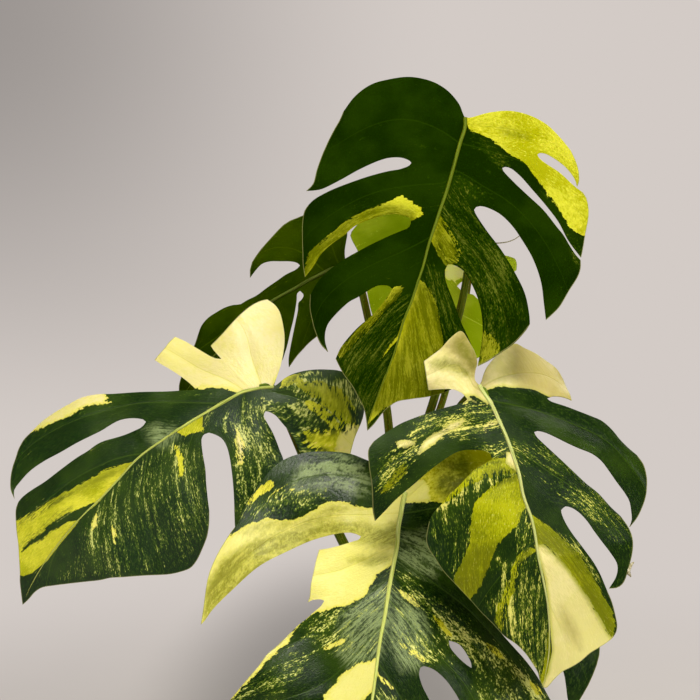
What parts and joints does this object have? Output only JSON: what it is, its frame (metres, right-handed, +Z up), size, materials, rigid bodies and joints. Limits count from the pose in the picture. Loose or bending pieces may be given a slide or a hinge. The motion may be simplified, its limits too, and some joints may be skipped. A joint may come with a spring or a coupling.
{
  "type": "potted monstera aurea",
  "caption": "Variegated Swiss cheese plant: large notched leaves on long arching stalks rising from a short cane in a plain round tapered pot.",
  "frame": {"origin": "centre of the pot's foot, on the surface it stands on", "axes": "+Z up along the plant's height; the leaves' faces look towards -Y; +X to the viewer's right"},
  "size_m": [0.6099, 0.347, 0.9815],
  "materials": {
    "stoneware": "matte",
    "potting_mix": "matte",
    "cane_bark": "matte",
    "petiole_green": "satin",
    "blade_dark": "satin",
    "blade_variegated": "satin",
    "blade_lime": "satin"
  },
  "bodies": {
    "root": {"pot": "stoneware", "soil": "potting_mix", "cane": "cane_bark", "petiole_top": "petiole_green", "petiole_right": "petiole_green", "petiole_front": "petiole_green", "petiole_left": "petiole_green", "petiole_back": "petiole_green", "petiole_young": "petiole_green", "leaf_top": "blade_dark", "leaf_back": "blade_dark", "leaf_left": "blade_variegated", "leaf_right": "blade_variegated", "leaf_front": "blade_variegated", "leaf_young": "blade_lime"}
  },
  "joints": []
}
